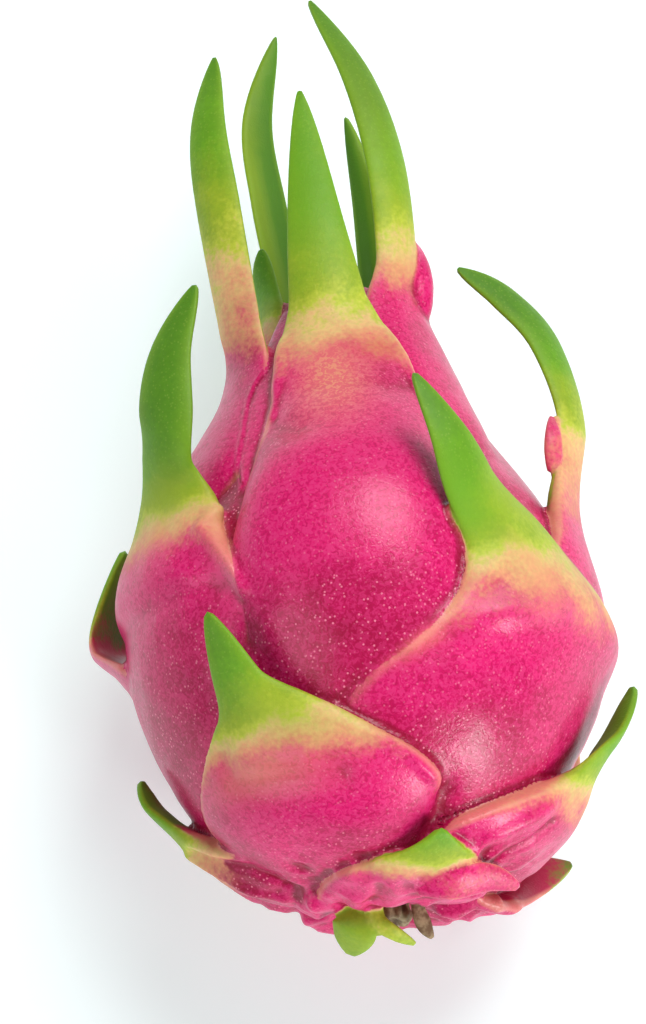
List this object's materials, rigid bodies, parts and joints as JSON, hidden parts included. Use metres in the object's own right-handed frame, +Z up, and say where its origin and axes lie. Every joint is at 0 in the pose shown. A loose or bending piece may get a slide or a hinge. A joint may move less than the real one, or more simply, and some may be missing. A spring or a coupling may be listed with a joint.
{
  "type": "dragon fruit",
  "caption": "Whole ripe dragon fruit lying on its side: plump rind with fleshy pillow-like scales that end in long green tongues, and a short cut stalk.",
  "frame": {"origin": "centre of the small flat spot that the fruit rests on, on the supporting surface", "axes": "+Z up, +Y along the fruit from its stalk end to its leafy crown, +X to the right when it is seen from above with the crown away"},
  "size_m": [0.0967, 0.1832, 0.0898],
  "materials": {
    "skin": "waxy magenta-pink fruit skin with fine pale speckles, crimson valleys, and scales that turn cream and yellow-green at their roots and fresh green towards their tips"
  },
  "bodies": {
    "root": {"fruit": "skin"}
  },
  "joints": []
}
